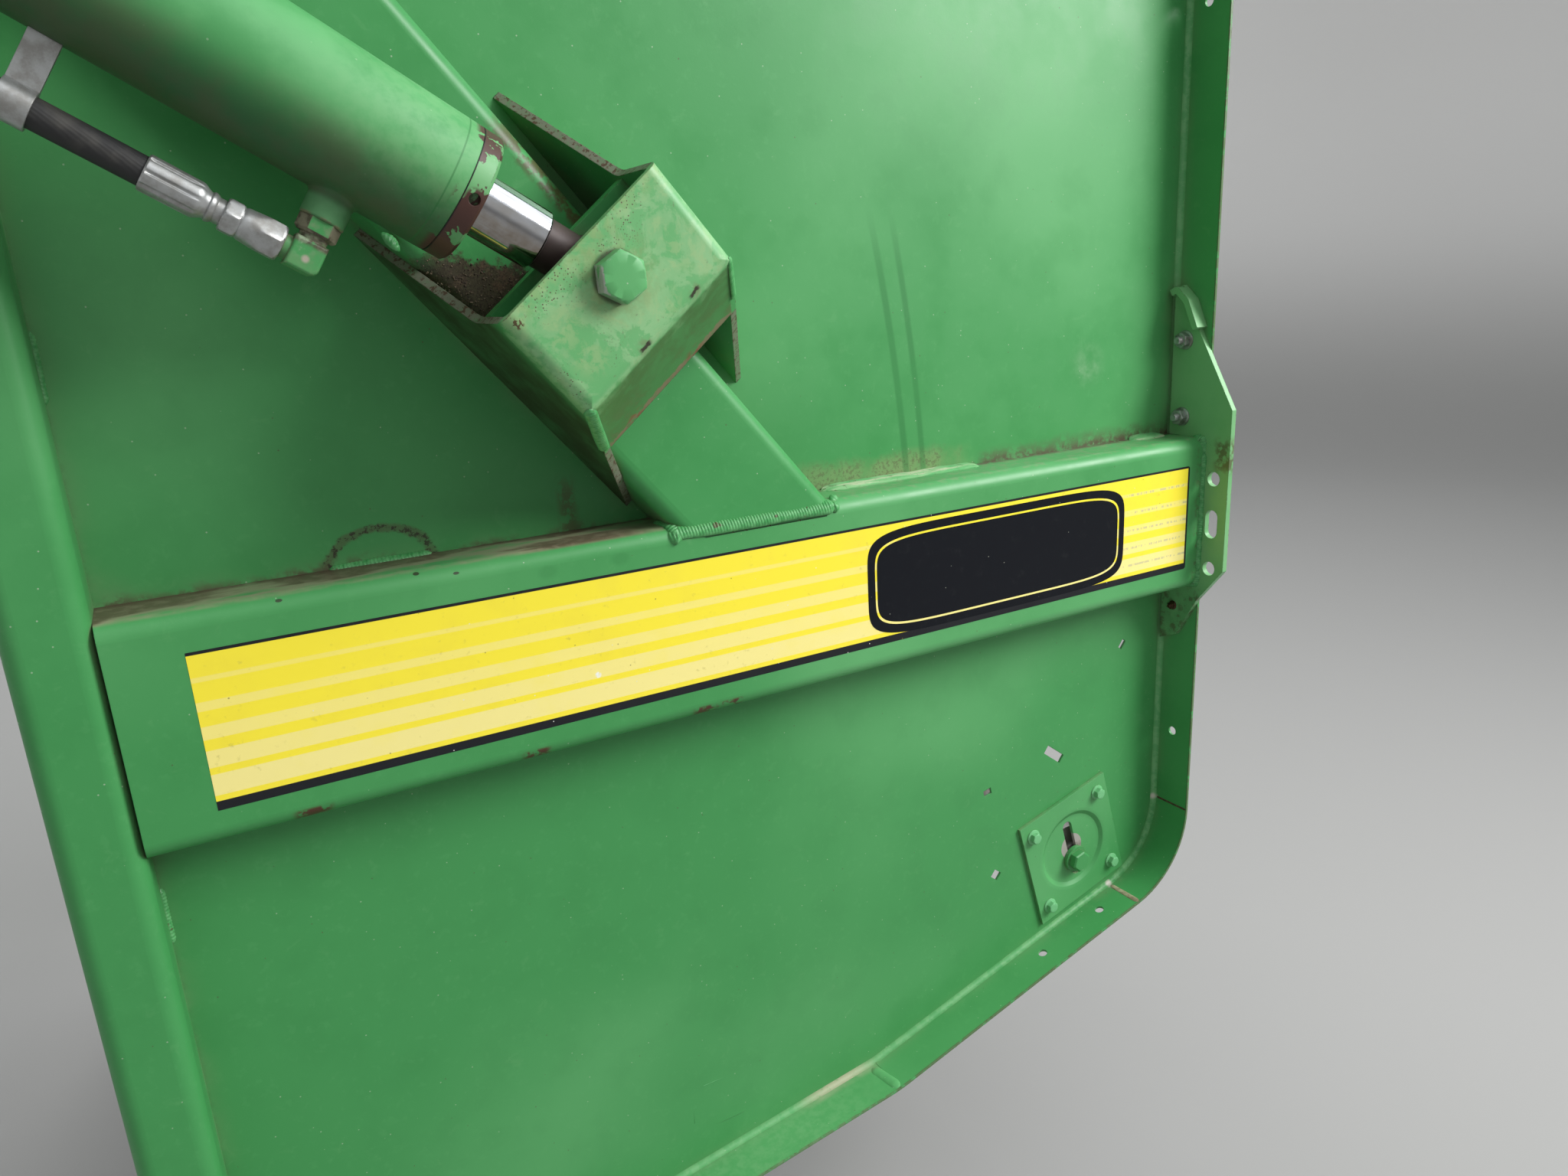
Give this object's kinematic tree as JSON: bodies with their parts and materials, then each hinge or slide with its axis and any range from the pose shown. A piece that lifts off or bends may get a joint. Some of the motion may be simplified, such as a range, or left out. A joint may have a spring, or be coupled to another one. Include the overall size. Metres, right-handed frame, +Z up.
{
  "type": "round baler tailgate",
  "caption": "Rear gate of a round baler: two flanged side sheets with beam, brace, cross tubes and belt rolls, hinged at the top and raised by a lift cylinder on each side.",
  "frame": {"origin": "on the hinge axis, midway between the two side sheets", "axes": "+X to the rear of the machine, +Y to its right side, +Z up"},
  "size_m": [1.6026, 1.989, 1.822],
  "materials": {
    "bare_steel": "worn bare steel",
    "chrome": "hard chrome rod with brown primed neck",
    "hose_rubber": "matt black hose cover",
    "paint": "green machine enamel, slightly faded, with field dirt and rust specks",
    "zinc": "dull zinc plate"
  },
  "bodies": {
    "gate": {"beam_left": "paint", "beam_right": "paint", "bearings_left": "paint", "bearings_right": "paint", "brace_left": "paint", "brace_right": "paint", "bracket_left": "paint", "bracket_right": "paint", "flange_left": "paint", "flange_right": "paint", "front_post_left": "paint", "front_post_right": "paint", "hinge_plate_left": "paint", "hinge_plate_right": "paint", "hinge_tube": "paint", "lower_tube": "paint", "lug_left": "paint", "lug_right": "paint", "rear_plate_left": "paint", "rear_plate_right": "paint", "rear_tube": "paint", "rod_pin_left": "paint", "rod_pin_right": "paint", "roll_bolt_left": "paint", "roll_bolt_right": "paint", "roll_plate_left": "paint", "roll_plate_right": "paint", "shaft_front_lower": "bare_steel", "shaft_rear_lower": "bare_steel", "shaft_rear_upper": "bare_steel", "shaft_top": "bare_steel", "sheet_left": "paint", "sheet_right": "paint", "top_tube": "paint"},
    "rod_left": {"rod_left": "chrome"},
    "barrel_left": {"barrel_left": "paint", "elbow_left": "paint", "gland_left": "paint", "hose_clamps_left": "zinc", "hose_fittings_left": "zinc", "hose_left": "hose_rubber"},
    "rod_right": {"rod_right": "chrome"},
    "barrel_right": {"barrel_right": "paint", "elbow_right": "paint", "gland_right": "paint", "hose_clamps_right": "zinc", "hose_fittings_right": "zinc", "hose_right": "hose_rubber"},
    "roll_rear_lower": {"roll_rear_lower": "bare_steel"},
    "roll_rear_upper": {"roll_rear_upper": "bare_steel"},
    "roll_top": {"roll_top": "bare_steel"},
    "roll_front_lower": {"roll_front_lower": "bare_steel"}
  },
  "joints": [
    {"name": "roll_rear_lower_spin", "type": "hinge", "parent": "gate", "child": "roll_rear_lower", "pos_m": [1.25681, 0, -1.49285], "axis": [0, 1, 0], "continuous": true},
    {"name": "roll_rear_upper_spin", "type": "hinge", "parent": "gate", "child": "roll_rear_upper", "pos_m": [1.3, 0, -0.22], "axis": [0, 1, 0], "continuous": true},
    {"name": "roll_top_spin", "type": "hinge", "parent": "gate", "child": "roll_top", "pos_m": [0.64, 0, -0.04], "axis": [0, 1, 0], "continuous": true},
    {"name": "roll_front_lower_spin", "type": "hinge", "parent": "gate", "child": "roll_front_lower", "pos_m": [0.18, 0, -1.64], "axis": [0, 1, 0], "continuous": true},
    {"name": "rod_swing_left", "type": "hinge", "parent": "gate", "child": "rod_left", "pos_m": [0.529, -0.9385, -0.623], "axis": [0, 1, 0], "range_deg": [-1, 5]},
    {"name": "cylinder_stroke_left", "type": "slide", "parent": "rod_left", "child": "barrel_left", "axis": [-0.8462, 0, 0.5329], "range_m": [0, 0.285]},
    {"name": "rod_swing_right", "type": "hinge", "parent": "gate", "child": "rod_right", "pos_m": [0.529, 0.9385, -0.623], "axis": [0, 1, 0], "range_deg": [-1, 5]},
    {"name": "cylinder_stroke_right", "type": "slide", "parent": "rod_right", "child": "barrel_right", "axis": [-0.8462, 0, 0.5329], "range_m": [0, 0.285]}
  ]
}
